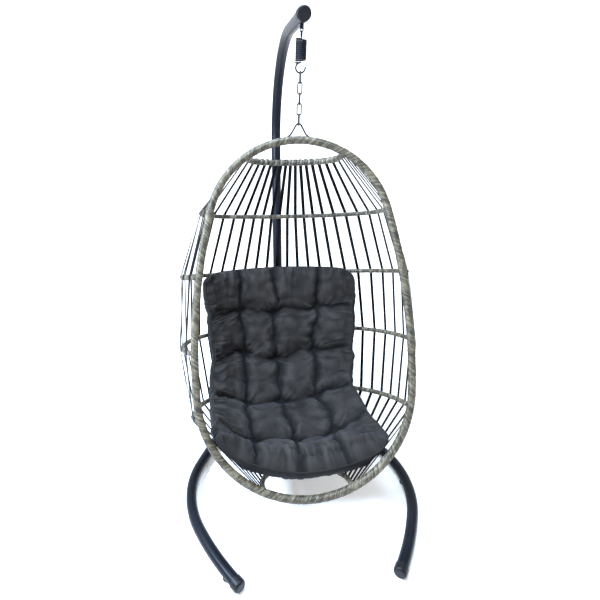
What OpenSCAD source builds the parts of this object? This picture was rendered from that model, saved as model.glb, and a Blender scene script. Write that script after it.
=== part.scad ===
// Hanging egg chair on a curved tube stand. Millimetres, +Z up, front towards -Y.
// The origin is on the floor, straight below the point that the chair hangs from.

/* [Stand] */
// Outer diameter of the post and the arm
post_d = 48; // [44:1:54]
// Wall of every stand tube
tube_wall = 2; // [1.5:0.5:3]
// Lean of the post towards the back, in degrees
post_lean = 13; // [10:0.5:15]
// Distance of the post's foot behind the hanging point
post_y = 340; // [320:5:350]
// Length of the straight part of the post, from the floor
post_straight = 1396; // [1370:1:1410]
// Bend radius of the arm, at the centre of the tube
arm_bend = 400; // [380:5:420]
// Outer diameter of the two base legs
leg_d = 42; // [38:1:45]
// Half of the base's greatest width, at the tube's centre
base_half_w = 457; // [430:1:480]
// Distance in front of the hanging point where the base is widest
base_wide_y = 300; // [280:5:320]
// Height of the rubber pads under the base
pad_h = 6; // [4:1:10]

/* [Suspension] */
// Height of the hole in the lug under the arm
lug_hole_z = 1803; // [1795:1:1806]
// Diameter of the spring's wire
spring_wire = 6; // [5:0.5:6]
// Mean diameter of the spring's coil
spring_d = 36; // [32:1:40]
// Length of the spring's coil when the chair is empty
spring_len = 74; // [70:1:80]
// Wire diameter of the chain
link_wire = 5; // [4:0.5:5]
// Inner length of a chain link
link_inner = 37.5; // [36:0.5:40]
// Outer width of a chain link
link_w = 21; // [20:0.5:24]

/* [Basket] */
// Tilt of the front ring from upright, bottom edge forward, in degrees
basket_tilt = 20.9; // [16:0.1:22]
// Height of the ring's centre line at its top
ring_top_z = 1424; // [1415:1:1430]
// Diameter of the ring with its cane wrapping
ring_wrap_d = 30; // [28:1:34]
// Diameter of the steel tube inside the ring
ring_tube_d = 22; // [19:1:24]
// Diameter of the wrapped back hoops
hoop_d = 20; // [16:1:22]
// Number of vertical straps round the back
strap_count = 28; // [20:2:32]
// Width of one strap
strap_w = 15; // [10:1:15]
// Thickness of one strap
strap_t = 1.6; // [1:0.2:2.4]

/* [Cushion] */
// Thickness of the pad at its fullest
cushion_t = 85; // [70:5:90]
// Width of the pad at its widest
cushion_w = 710; // [660:10:730]

/* [Hidden] */
$fn = 64;

// Colours of the finished pieces
black_coat = [0.05, 0.05, 0.06];
black_plastic = [0.07, 0.07, 0.07];
rubber_black = [0.10, 0.10, 0.10];
zinc = [0.55, 0.56, 0.58];
cane = [0.56, 0.52, 0.42];
cane_shade = [0.46, 0.43, 0.35];
strap_black = [0.09, 0.09, 0.09];
charcoal = [0.24, 0.24, 0.26];

// Clearance between pieces that pass through or rest on each other
gap = 0.4;
// Radial clearance of a tube inside its sleeve
slip = 0.25;
// Seam between two lengths of tube, and the sleeve inside it: its length, how far it beds into the
// tube's wall and how far it stands out into the bore
seam = 0.3;
sleeve_len = 20;
sleeve_bed = 0.7;
sleeve_stand = 1;

// ---- Stand: derived sizes ----
leg_z = pad_h + leg_d / 2;
leg_stub = 55;
rear_sweep = 65;
side_r = 350;
front_r = 400;
front_sweep = 26;
toe_r = 1100;
toe_sweep = 12;
toe_len = 27;
// The side arc turns what is left of the quarter turn. The rear bend's radius closes the outline.
side_sweep = 90 - rear_sweep;
side_x = base_half_w - side_r * (1 - sin(rear_sweep));
side_y = -base_wide_y + side_r * cos(rear_sweep);
rear_r = (side_y - post_y + tan(rear_sweep) * (side_x - leg_stub))
    / (tan(rear_sweep) * sin(rear_sweep) - (1 - cos(rear_sweep)));
rear_x = leg_stub + rear_r * sin(rear_sweep);
link_run = (side_x - rear_x) / cos(rear_sweep);
// Straight runs as [length, 0], bends as [radius, degrees]
leg_path = [
    [leg_stub, 0], [rear_r, rear_sweep], [link_run, 0], [side_r, side_sweep],
    [front_r, front_sweep], [toe_r, toe_sweep], [toe_len, 0]
];
toe_turn = front_sweep + toe_sweep;
toe_x = base_half_w - front_r * (1 - cos(front_sweep)) - toe_r * (cos(front_sweep) - cos(toe_turn))
    - toe_len * sin(toe_turn);
toe_y = -base_wide_y - front_r * sin(front_sweep) - toe_r * (sin(toe_turn) - sin(front_sweep))
    - toe_len * cos(toe_turn);

socket_len = 130;
socket_wall = 4;
socket_start = 34;
joint_at = 1000;
spigot_len = 80;
arm_z = post_straight * cos(post_lean) + arm_bend * (1 + sin(post_lean));
arm_start_y = post_y + post_straight * sin(post_lean) - arm_bend * cos(post_lean);
arm_overhang = 30;
arm_run = arm_start_y + arm_overhang;
// Arm cap: outer diameter, how far it covers the arm, how far its nose stands out, corner radius
cap_d = post_d + 6;
cap_depth = 20;
cap_nose = 11;
cap_corner = 8;
// Leg caps, in the same order
leg_cap_d = leg_d + 5;
leg_cap_depth = 20;
leg_cap_nose = 12;
leg_cap_corner = 10;

lug_w = 14;
lug_t = 6;
lug_hole_d = 9;
lug_top_z = arm_z - post_d / 2 + 2;
// Tight clearance of pieces that are welded, glued or screwed together
close_fit = 0.1;

// ---- Suspension: derived sizes ----
top_wire_d = 5;
// Mean radius of the wire eye that passes through the lug, and how far it rides above the hole's edge
eye_r = 9.5;
eye_lift = 0.9;
eye_top_z = lug_hole_z - lug_hole_d / 2 + top_wire_d / 2 + eye_lift;
eye_z = eye_top_z - eye_r;
coil_top_z = lug_hole_z - 28;
coil_turns = 11;
coil_steps = 18;
coil_end_gap = 0.5;
hook_r = 17.5;
hook_z = coil_top_z - spring_len - coil_end_gap - spring_wire / 2 - hook_r;
hook_wire_z = hook_z - hook_r;
link_count = 5;
link_step = link_inner - gap;
link_1_z = hook_wire_z + spring_wire / 2 + gap - link_inner / 2;
link_5_z = link_1_z - (link_count - 1) * link_step;
hanger_d = 6.5;
hanger_top_z = link_5_z - link_inner / 2 + gap + hanger_d / 2;

// ---- Basket: derived sizes ----
// The ring is an egg outline of six arcs, tangent where they meet
top_r = 355;
top_sweep = 75.5;
flank_r = 2280;
flank_sweep = 18;
flank_x = top_r * sin(top_sweep) - flank_r * sin(top_sweep);
flank_s = top_r * (1 - cos(top_sweep)) + flank_r * cos(top_sweep);
low_angle = top_sweep + flank_sweep;
low_x = flank_x + flank_r * sin(low_angle);
low_s = flank_s - flank_r * cos(low_angle);
low_r = low_x / sin(low_angle);
low_centre_s = low_s + low_r * cos(low_angle);
ring_wall = 1.5;
ring_path = [
    [top_r, top_sweep], [flank_r, flank_sweep], [low_r, 2 * (180 - low_angle)],
    [flank_r, flank_sweep], [top_r, top_sweep]
];

// Half width of the ring's centre line at a distance s down from its top
function ring_half(s) =
    s < top_r * (1 - cos(top_sweep)) ? sqrt(max(0, top_r * top_r - (top_r - s) * (top_r - s)))
    : s < low_s ? flank_x + sqrt(flank_r * flank_r - (s - flank_s) * (s - flank_s))
    : sqrt(max(0, low_r * low_r - (s - low_centre_s) * (s - low_centre_s)));

// Back hoops, top to bottom: distance down the ring, greatest half width, distance behind the ring
// where it is widest, depth behind the ring, lift towards the back in degrees, wrapped diameter
hoops = [
    [52, 188, 110, 232, 6, 26],
    [267, 385, 188, 436, 4, hoop_d],
    [522, 468, 173, 545, 1.5, hoop_d],
    [806, 473, 140, 588, 1.5, hoop_d],
    [1056, 430, 80, 522, -2, hoop_d],
    [1332, 172, 60, 245, -4, hoop_d]
];
hoop_rod_d = 10;
hoop_power = 2.3;
hoop_steps = 13;

// Length of a quarter of the rounded rear as a share of its two half axes together
quarter_share = 0.83;

function hoop_rear(h) = hoops[h][3] - hoops[h][2];
function hoop_front_len(h) = norm([hoops[h][1] - ring_half(hoops[h][0]), hoops[h][2]]);
function hoop_rear_len(h) = quarter_share * (hoops[h][1] + hoop_rear(h));
function hoop_share(h) = hoop_front_len(h) / (hoop_front_len(h) + hoop_rear_len(h));
// Radius of the hoop's rounded rear at an angle from its widest point
function hoop_radius(h, a) =
    pow(pow(max(0, cos(a)) / hoops[h][1], hoop_power) + pow(sin(a) / hoop_rear(h), hoop_power),
        -1 / hoop_power);
// Half hoop as [x, distance behind the ring]: f = 0 at the ring, 1 at the middle of the back
function hoop_half(h, f, start) =
    f < hoop_share(h)
        ? let (n = start + (hoops[h][2] - start) * f / hoop_share(h), edge = ring_half(hoops[h][0]))
            [edge + (hoops[h][1] - edge) * sin(90 * n / hoops[h][2]), n]
        : let (a = 90 * (f - hoop_share(h)) / (1 - hoop_share(h)), r = hoop_radius(h, a))
            [r * cos(a), hoops[h][2] + r * sin(a)];
// Point on a hoop in the basket's own frame: f runs from -1, the left end, to 1, the right end
function hoop_point(h, f, start = 0) =
    let (p = hoop_half(h, 1 - abs(f), start), side = f < 0 ? -1 : 1)
        [side * p[0], p[1], -hoops[h][0] + p[1] * tan(hoops[h][4])];
function hoop_line(h, start) =
    [for (i = [-hoop_steps : hoop_steps]) hoop_point(h, i / hoop_steps, start)];

// The pad's middle line, top to front: distance behind the ring, distance down the ring,
// half width and thickness as shares of the greatest, and how far its edges curl inwards
pad_line = [
    [466, 482, 0.84, 0.26, 75], [478, 516, 0.97, 0.84, 105], [490, 620, 0.99, 0.97, 115],
    [500, 730, 0.97, 1.00, 118], [500, 845, 0.95, 1.00, 115], [482, 950, 0.93, 1.00, 120],
    [438, 1046, 0.92, 1.00, 125], [364, 1124, 0.92, 1.00, 135], [268, 1190, 0.92, 1.00, 145],
    [160, 1238, 0.91, 1.08, 155], [70, 1266, 0.90, 1.18, 165], [12, 1278, 0.84, 0.75, 170]
];
pad_columns = 4;
// How the pad's edges curl and thin out from its middle
pad_curl_power = 1.6;
pad_thin_power = 4;
pad_thin_share = 0.72;

// ---- Helpers ----
function unit(v) = v / norm(v);
function tangent(p, i) = unit(p[min(i + 1, len(p) - 1)] - p[max(i - 1, 0)]);

// Round bar swept along points that lie nearly in one plane, whose normal is up
module swept_bar(points, r, up, sides = 8, bore = 0) {
    n = len(points);
    rim = bore > 0 ? 2 * sides : sides;
    radii = bore > 0 ? [r, bore] : [r];
    verts = [for (i = [0 : n - 1])
        let (t = tangent(points, i), b = unit(cross(t, up)), c = cross(b, t))
        each [for (radius = radii, k = [0 : sides - 1])
            points[i] + radius * (cos(360 * k / sides) * b + sin(360 * k / sides) * c)]];
    outer = [for (i = [0 : n - 2], k = [0 : sides - 1]) let (m = (k + 1) % sides)
        [i * rim + k, i * rim + m, (i + 1) * rim + m, (i + 1) * rim + k]];
    inner = bore == 0 ? [] : [for (i = [0 : n - 2], k = [0 : sides - 1]) let (m = (k + 1) % sides)
        [i * rim + sides + k, (i + 1) * rim + sides + k, (i + 1) * rim + sides + m, i * rim + sides + m]];
    last = (n - 1) * rim;
    ends = bore == 0
        ? [[for (k = [sides - 1 : -1 : 0]) k], [for (k = [0 : sides - 1]) last + k]]
        : [for (k = [0 : sides - 1]) let (m = (k + 1) % sides) each [
            [k, sides + k, sides + m, m], [last + k, last + m, last + sides + m, last + sides + k]]];
    polyhedron(verts, concat(outer, inner, ends), convexity = 12);
}

module bar(length, r) {
    rotate([0, 90, 0])
        cylinder(h = length, r = r);
}

module bend(radius, angle, r) {
    translate([0, -radius, 0])
        rotate([0, 0, 90 - angle])
            rotate_extrude(angle = angle)
                translate([radius, 0])
                    circle(r = r);
}

// Moves children past a bend to the right
module past_bend(radius, angle) {
    translate([0, -radius, 0])
        rotate([0, 0, -angle])
            translate([0, radius, 0])
                children();
}

// Solid wire along a path from the origin, starting along +X and bending to the right
module wire_run(path, r, i = 0) {
    if (i < len(path)) {
        if (path[i][1] == 0) {
            bar(path[i][0], r);
            translate([path[i][0], 0, 0])
                wire_run(path, r, i + 1);
        } else {
            bend(path[i][0], path[i][1], r);
            past_bend(path[i][0], path[i][1])
                wire_run(path, r, i + 1);
        }
    }
}

module annulus(outer_r, inner_r) {
    difference() {
        circle(r = outer_r);
        circle(r = inner_r);
    }
}

module tube(length, outer_r, inner_r) {
    rotate([0, 90, 0])
        linear_extrude(length)
            annulus(outer_r, inner_r);
}

module tube_bend(radius, angle, outer_r, inner_r) {
    cut = seam / 2 / radius * 180 / PI;
    translate([0, -radius, 0])
        rotate([0, 0, 90 - angle + cut])
            rotate_extrude(angle = angle - 2 * cut)
                translate([radius, 0])
                    annulus(outer_r, inner_r);
}

// Tube made of straight and bent lengths, each butted to the next over an inner sleeve
module tube_run(path, outer_r, inner_r, closed = false, i = 0) {
    if (i < len(path)) {
        if (i > 0 || closed)
            translate([-sleeve_len / 2, 0, 0])
                tube(sleeve_len, inner_r + sleeve_bed, inner_r - sleeve_stand);
        if (path[i][1] == 0) {
            translate([seam / 2, 0, 0])
                tube(path[i][0] - seam, outer_r, inner_r);
            translate([path[i][0], 0, 0])
                tube_run(path, outer_r, inner_r, closed, i + 1);
        } else {
            tube_bend(path[i][0], path[i][1], outer_r, inner_r);
            past_bend(path[i][0], path[i][1])
                tube_run(path, outer_r, inner_r, closed, i + 1);
        }
    }
}

// Places children in the post's frame: +Z along the leaning post, from the floor
module on_post() {
    translate([0, post_y, 0])
        rotate([-post_lean, 0, 0])
            children();
}

// Places children in the basket's frame: Y behind the ring, Z up the ring from its top
module in_basket() {
    translate([0, 0, ring_top_z])
        rotate([-basket_tilt, 0, 0])
            children();
}

// ---- Stand ----
hub_len = 2 * leg_stub - 6;
hub_d = leg_d + 8;
hub_bolt_x = 36;
hub_bolt_d = 8;
socket_floor = socket_start + hub_d / 2;
// Locking screw: thread, height up the post, how far it reaches in, and its domed head
screw_d = 6;
screw_at = 130;
screw_reach = 10;
screw_head_h = 5;
screw_head_d = 13;
screw_face_d = 8;

module hub_bolt_holes(d) {
    for (side = [-1, 1])
        translate([side * hub_bolt_x, post_y - hub_d, leg_z])
            rotate([-90, 0, 0])
                cylinder(h = 2 * hub_d, d = d);
}

module leg() {
    difference() {
        translate([gap, post_y, leg_z])
            tube_run(leg_path, leg_d / 2, leg_d / 2 - tube_wall);
        hub_bolt_holes(hub_bolt_d + 1);
    }
}

module base_right_leg() {
    color(black_coat)
        leg();
}

module base_left_leg() {
    color(black_coat)
        mirror([1, 0, 0])
            leg();
}

module base_hub() {
    color(black_coat)
        difference() {
            union() {
                translate([-hub_len / 2, post_y, leg_z])
                    rotate([0, 90, 0])
                        cylinder(h = hub_len, d = hub_d);
                on_post()
                    translate([0, 0, socket_start])
                        cylinder(h = socket_len, d = post_d + 2 * (slip + socket_wall));
            }
            translate([-hub_len / 2 - 1, post_y, leg_z])
                rotate([0, 90, 0])
                    cylinder(h = hub_len + 2, d = leg_d + 2 * slip);
            on_post()
                translate([0, 0, socket_floor])
                    cylinder(h = socket_len, d = post_d + 2 * slip);
            hub_bolt_holes(hub_bolt_d + 1);
            screw_hole(screw_d + 0.8);
        }
}

// Hole for the locking screw, from behind the post to its middle
module screw_hole(d) {
    on_post()
        translate([0, 0, screw_at])
            rotate([-90, 0, 0])
                cylinder(h = post_d, d = d);
}

module post_screw() {
    head_y = post_d / 2 + slip + socket_wall;
    color(zinc)
        on_post()
            translate([0, 0, screw_at])
                rotate([-90, 0, 0]) {
                    translate([0, 0, head_y - screw_reach])
                        cylinder(h = screw_reach + 2, d = screw_d);
                    translate([0, 0, head_y + gap])
                        cylinder(h = screw_head_h, d1 = screw_head_d, d2 = screw_face_d);
                }
}

// Hexagon heads and nuts, and how far a bolt runs past the hub
bolt_head_h = 5.5;
bolt_head_w = 15;
nut_h = 6.5;
bolt_over = 9;

module hub_bolts() {
    color(zinc)
        for (side = [-1, 1])
            translate([side * hub_bolt_x, post_y + hub_d / 2, leg_z])
                rotate([90, 0, 0]) {
                    cylinder(h = hub_d + bolt_over, d = hub_bolt_d);
                    translate([0, 0, -bolt_head_h])
                        cylinder(h = bolt_head_h, d = bolt_head_w, $fn = 6);
                }
}

module hub_nuts() {
    color(zinc)
        for (side = [-1, 1])
            translate([side * hub_bolt_x, post_y - hub_d / 2, leg_z])
                rotate([90, 0, 0])
                    difference() {
                        cylinder(h = nut_h, d = bolt_head_w, $fn = 6);
                        translate([0, 0, -1])
                            cylinder(h = nut_h + 2, d = hub_bolt_d + close_fit);
                    }
}

// Round-nosed cap: a sleeve over the tube's end, closed by a rounded face
module tube_cap(tube_d, outer_d, depth, nose, corner) {
    rotate_extrude()
        difference() {
            union() {
                square([outer_d / 2, depth + nose - corner]);
                square([outer_d / 2 - corner, depth + nose]);
                translate([outer_d / 2 - corner, depth + nose - corner])
                    circle(r = corner);
            }
            translate([-1, -1])
                square([tube_d / 2 + close_fit + 1, depth + 1]);
            translate([-outer_d, -1])
                square([outer_d, 2 * (depth + nose)]);
        }
}

module leg_end_cap() {
    translate([toe_x + gap, toe_y, leg_z])
        rotate([0, 90, 270 - toe_turn])
            translate([0, 0, -leg_cap_depth])
                tube_cap(leg_d, leg_cap_d, leg_cap_depth, leg_cap_nose, leg_cap_corner);
}

module leg_end_cap_right() {
    color(black_plastic)
        leg_end_cap();
}

module leg_end_cap_left() {
    color(black_plastic)
        mirror([1, 0, 0])
            leg_end_cap();
}

pad_d = 34;
// Distance of the rear pads past the rear bend, and of the front pads behind the toes
rear_pad_at = 40;
toe_pad_at = 60;
rear_y = post_y - rear_r * (1 - cos(rear_sweep));
// Centres of the three pads under the right leg
pads = [
    [rear_x + rear_pad_at * cos(rear_sweep), rear_y - rear_pad_at * sin(rear_sweep)],
    [base_half_w, -base_wide_y],
    [toe_x + toe_pad_at * sin(toe_turn), toe_y + toe_pad_at * cos(toe_turn)]
];

module floor_pads() {
    color(rubber_black)
        for (side = [-1, 1], pad = pads)
            translate([side * (pad[0] + gap), pad[1], 0])
                cylinder(h = pad_h, d = pad_d);
}

module post_lower() {
    spigot_d = post_d - 2 * tube_wall - 2 * slip;
    bore_d = post_d - 2 * tube_wall;
    color(black_coat)
        difference() {
            on_post()
                difference() {
                    union() {
                        translate([0, 0, socket_floor + 1])
                            cylinder(h = joint_at - socket_floor - 2, d = post_d);
                        translate([0, 0, joint_at - 20])
                            cylinder(h = spigot_len + 20, d = spigot_d);
                    }
                    translate([0, 0, socket_floor])
                        cylinder(h = joint_at - 20 - socket_floor, d = bore_d);
                    translate([0, 0, joint_at - 25])
                        cylinder(h = spigot_len + 30, d = spigot_d - 2 * tube_wall);
                }
            screw_hole(screw_d + close_fit);
        }
}

module post_upper() {
    arm_path = [[post_straight - joint_at - 1, 0], [arm_bend, 90 + post_lean], [arm_run, 0]];
    color(black_coat)
        on_post()
            translate([0, 0, joint_at + 1])
                rotate([0, -90, 0])
                    tube_run(arm_path, post_d / 2, post_d / 2 - tube_wall);
}

module arm_end_cap() {
    color(black_plastic)
        translate([0, -arm_overhang + cap_depth, arm_z])
            rotate([90, 0, 0])
                tube_cap(post_d, cap_d, cap_depth, cap_nose, cap_corner);
}

module arm_lug() {
    color(black_coat)
        difference() {
            union() {
                translate([-lug_w / 2, -lug_t / 2, lug_hole_z])
                    cube([lug_w, lug_t, lug_top_z - lug_hole_z]);
                translate([0, lug_t / 2, lug_hole_z])
                    rotate([90, 0, 0])
                        cylinder(h = lug_t, d = lug_w);
            }
            translate([0, lug_t, lug_hole_z])
                rotate([90, 0, 0])
                    cylinder(h = 2 * lug_t, d = lug_hole_d);
            translate([0, lug_t, arm_z])
                rotate([90, 0, 0])
                    cylinder(h = 2 * lug_t, d = post_d + close_fit);
        }
}

// ---- Suspension ----
module wire_ring(radius, wire_r) {
    rotate_extrude()
        translate([radius, 0])
            circle(r = wire_r);
}

// Half turn of wire from the spring's axis out to its coil
module end_turn(wire_r) {
    translate([-spring_d / 4, 0, 0])
        rotate_extrude(angle = 180)
            translate([spring_d / 4, 0])
                circle(r = wire_r);
}

module spring_top_hook() {
    turn_z = coil_top_z + top_wire_d / 2 + gap;
    color(black_coat)
        union() {
            translate([0, 0, eye_z])
                rotate([0, 90, 0])
                    wire_ring(eye_r, top_wire_d / 2);
            translate([0, 0, turn_z])
                cylinder(h = eye_z - eye_r - turn_z, d = top_wire_d);
            translate([0, 0, turn_z])
                end_turn(top_wire_d / 2);
            translate([0, 0, turn_z])
                sphere(d = top_wire_d);
        }
}

module spring_coil() {
    wire_r = spring_wire / 2;
    rise = (spring_len - spring_wire) / (coil_turns * coil_steps);
    line = [for (i = [0 : coil_turns * coil_steps]) let (a = 180 + 360 * i / coil_steps)
        [spring_d / 2 * cos(a), spring_d / 2 * sin(a), coil_top_z - wire_r - i * rise]];
    color(black_coat)
        swept_bar(line, wire_r - 0.05, [0, 0, 1], 6);
}

module spring_bottom_hook() {
    wire_r = spring_wire / 2;
    turn_z = hook_z + hook_r;
    color(black_coat)
        union() {
            translate([0, 0, hook_z])
                rotate([90, 0, 0])
                    rotate([0, 0, 90])
                        rotate_extrude(angle = 280)
                            translate([hook_r, 0])
                                circle(r = wire_r);
            translate([0, 0, turn_z])
                end_turn(wire_r);
            translate([0, 0, turn_z])
                sphere(r = wire_r);
        }
}

module chain_link(z, turn) {
    bend_r = (link_w - link_wire) / 2;
    side_len = link_inner + link_wire - 2 * bend_r;
    color(zinc)
        translate([0, 0, z])
            rotate([0, 0, turn])
                rotate([0, -90, 0])
                    translate([side_len / 2, bend_r, 0])
                        wire_run([[bend_r, 180], [side_len, 0], [bend_r, 180], [side_len, 0]], link_wire / 2);
}

module chain_link_1() {
    chain_link(link_1_z, 0);
}

module chain_link_2() {
    chain_link(link_1_z - link_step, 90);
}

module chain_link_3() {
    chain_link(link_1_z - 2 * link_step, 0);
}

module chain_link_4() {
    chain_link(link_1_z - 3 * link_step, 90);
}

module chain_link_5() {
    chain_link(link_5_z, 0);
}

hanger_top_r = 12;
hanger_flare_r = 25;
hanger_steep = 60;
hanger_flat = 15;
hanger_foot_z = ring_top_z + ring_tube_d / 2 + 1.1;

module hanger() {
    bend_drop = hanger_top_r * (1 - cos(hanger_steep));
    flare_drop = hanger_flare_r * (cos(hanger_flat) - cos(hanger_steep));
    leg_len = (hanger_top_z - hanger_foot_z - bend_drop - flare_drop) / sin(hanger_steep);
    leg_end = [hanger_top_r * sin(hanger_steep) + leg_len * cos(hanger_steep),
        hanger_top_z - bend_drop - leg_len * sin(hanger_steep)];
    half = concat(
        [for (a = [15 : 15 : hanger_steep])
            [hanger_top_r * sin(a), hanger_top_z - hanger_top_r * (1 - cos(a))]],
        [for (a = [hanger_steep : -15 : hanger_flat])
            leg_end + hanger_flare_r * [sin(hanger_steep) - sin(a), cos(hanger_steep) - cos(a)]]);
    last = len(half) - 1;
    line = concat(
        [for (i = [last : -1 : 0]) [-half[i][0], 0, half[i][1]]],
        [[0, 0, hanger_top_z]],
        [for (p = half) [p[0], 0, p[1]]]);
    color(black_coat)
        swept_bar(line, hanger_d / 2, [0, 1, 0], 10);
}

// ---- Basket ----
// Cane wrapped round the ring tube: one sheath for each arc, lapped where they meet
module wrap_run(path, i = 0) {
    bore = ring_tube_d / 2 + close_fit;
    if (i < len(path)) {
        translate([-lap_len / 2, 0, 0])
            tube(lap_len, ring_wrap_d / 2 - lap_step, bore + 1);
        tube_bend(path[i][0], path[i][1], ring_wrap_d / 2, bore);
        past_bend(path[i][0], path[i][1])
            wrap_run(path, i + 1);
    }
}

module ring_tube() {
    color(black_coat)
        in_basket()
            rotate([90, 0, 0])
                tube_run(ring_path, ring_tube_d / 2, ring_tube_d / 2 - ring_wall, true);
}

module ring_wrap() {
    color(cane)
        in_basket()
            rotate([90, 0, 0])
                wrap_run(ring_path);
}

// Lap under the wrapping where two lengths meet, and how far below its surface it lies
lap_len = 14;
lap_step = 1.2;
// How far a strap runs past its end hoops
strap_over = 9;
hoop_start = ring_wrap_d / 2 + 1.2;
rod_start = ring_tube_d / 2 + 0.8;

function rod_line(h) =
    concat([hoop_point(h, -1, rod_start)], hoop_line(h, hoop_start), [hoop_point(h, 1, rod_start)]);

module hoop_rods() {
    color(black_coat)
        in_basket()
            for (h = [0 : len(hoops) - 1])
                swept_bar(rod_line(h), hoop_rod_d / 2, [0, 0, 1]);
}

module hoop_wrap(h) {
    color(cane_shade)
        in_basket()
            swept_bar(hoop_line(h, hoop_start), hoops[h][5] / 2, [0, 0, 1], 8, hoop_rod_d / 2 + 0.2);
}

module hoop_wrap_1() {
    hoop_wrap(0);
}

module hoop_wrap_2() {
    hoop_wrap(1);
}

module hoop_wrap_3() {
    hoop_wrap(2);
}

module hoop_wrap_4() {
    hoop_wrap(3);
}

module hoop_wrap_5() {
    hoop_wrap(4);
}

module hoop_wrap_6() {
    hoop_wrap(5);
}

// Point where a strap crosses a hoop, and the way the hoop runs there
function strap_cross(h, f) = hoop_point(h, f, hoop_start);
function strap_side(h, f) = unit(strap_cross(h, f + 0.01) - strap_cross(h, f - 0.01));
function strap_normal(h, f, a, b) = unit(cross(strap_cross(a, f) - strap_cross(b, f), strap_side(h, f)));

// One flat strap laid over the outside of every hoop at the fraction f of its length
module strap(f) {
    bottom = len(hoops) - 1;
    verts = [for (h = [0 : bottom])
        let (
            above = max(h - 1, 0),
            below = min(h + 1, bottom),
            n = strap_normal(h, f, above, below),
            flank = strap_normal(h, f, above, above + 1),
            lift = (hoops[h][5] / 2 + gap) / (n * flank),
            over = h == 0 ? strap_over : h == bottom ? -strap_over : 0,
            c = strap_cross(h, f) + over * unit(strap_cross(above, f) - strap_cross(below, f)),
            across = strap_w / 2 * strap_side(h, f)
        )
        each [c - across + lift * n, c + across + lift * n,
            c + across + (lift + strap_t) * n, c - across + (lift + strap_t) * n]];
    last = 4 * bottom;
    sides = [for (h = [0 : bottom - 1], k = [0 : 3]) let (m = (k + 1) % 4)
        [4 * h + k, 4 * h + m, 4 * h + 4 + m, 4 * h + 4 + k]];
    polyhedron(verts, concat([[3, 2, 1, 0]], sides, [[last, last + 1, last + 2, last + 3]]), convexity = 8);
}

module back_straps() {
    color(strap_black)
        in_basket()
            for (j = [0 : strap_count - 1])
                strap((2 * j + 1) / strap_count - 1);
}

module cushion() {
    rows = len(pad_line);
    cols = 2 * pad_columns + 1;
    rim = 2 * cols;
    verts = [for (i = [0 : rows - 1])
        let (
            a = pad_line[max(i - 1, 0)],
            b = pad_line[min(i + 1, rows - 1)],
            along = unit([b[0] - a[0], b[1] - a[1]]),
            inward = [-along[1], along[0]],
            row = pad_line[i],
            half_w = cushion_w / 2 * row[2],
            half_t = cushion_t / 2 * row[3]
        )
        each [for (face = [1, -1], k = [0 : cols - 1])
            let (
                u = (face > 0 ? k - pad_columns : pad_columns - k) / pad_columns,
                curl = row[4] * pow(abs(u), pad_curl_power),
                off = curl + face * half_t * (1 - pad_thin_share * pow(u, pad_thin_power))
            )
            [half_w * sin(90 * u), row[0] + off * inward[0], -(row[1] + off * inward[1])]]];
    skin = [for (i = [0 : rows - 2], k = [0 : rim - 1]) let (m = (k + 1) % rim)
        [i * rim + m, (i + 1) * rim + m, (i + 1) * rim + k, i * rim + k]];
    last = (rows - 1) * rim;
    caps = [for (k = [0 : cols - 2]) each [
        [rim - 1 - k, rim - 2 - k, k + 1, k],
        [last + k, last + k + 1, last + rim - 2 - k, last + rim - 1 - k]]];
    color(charcoal)
        in_basket()
            polyhedron(verts, concat(skin, caps), convexity = 6);
}

base_left_leg();
base_right_leg();
base_hub();
leg_end_cap_left();
leg_end_cap_right();
floor_pads();
post_lower();
post_upper();
arm_end_cap();
arm_lug();
hub_bolts();
hub_nuts();
post_screw();
spring_top_hook();
spring_coil();
spring_bottom_hook();
chain_link_1();
chain_link_2();
chain_link_3();
chain_link_4();
chain_link_5();
hanger();
ring_tube();
ring_wrap();
hoop_rods();
hoop_wrap_1();
hoop_wrap_2();
hoop_wrap_3();
hoop_wrap_4();
hoop_wrap_5();
hoop_wrap_6();
back_straps();
cushion();
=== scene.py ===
import math

import bpy
import numpy as np
from mathutils import Matrix, Vector, noise
from mathutils.bvhtree import BVHTree


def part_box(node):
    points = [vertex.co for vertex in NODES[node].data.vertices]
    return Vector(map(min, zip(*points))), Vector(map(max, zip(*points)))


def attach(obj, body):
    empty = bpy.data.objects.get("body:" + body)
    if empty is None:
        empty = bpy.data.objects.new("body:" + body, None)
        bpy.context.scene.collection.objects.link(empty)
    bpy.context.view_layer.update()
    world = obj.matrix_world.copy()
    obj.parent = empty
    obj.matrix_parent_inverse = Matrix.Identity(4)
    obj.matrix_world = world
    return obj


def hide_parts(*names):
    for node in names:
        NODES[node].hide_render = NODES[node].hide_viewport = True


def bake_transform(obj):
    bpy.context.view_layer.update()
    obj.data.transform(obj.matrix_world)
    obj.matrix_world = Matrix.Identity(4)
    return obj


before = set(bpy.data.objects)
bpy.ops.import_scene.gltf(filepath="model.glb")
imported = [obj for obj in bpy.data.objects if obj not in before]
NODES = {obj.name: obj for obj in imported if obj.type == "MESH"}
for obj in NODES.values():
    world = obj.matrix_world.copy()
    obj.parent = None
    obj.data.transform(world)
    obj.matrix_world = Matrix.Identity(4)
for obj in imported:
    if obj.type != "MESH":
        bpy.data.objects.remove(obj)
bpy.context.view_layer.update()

# ---------------------------------------------------------------- camera
CAM_AT = Vector((-0.3102, -1.703, 1.5195))
YAW = -0.0839
PITCH = -0.3276
ROLL = -0.0008
SENSOR_MM = 36.0
LENS_MM = 25.8
SHIFT_X, SHIFT_Y = 0.075, -0.0666667
CLIP_START = 0.05


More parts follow.
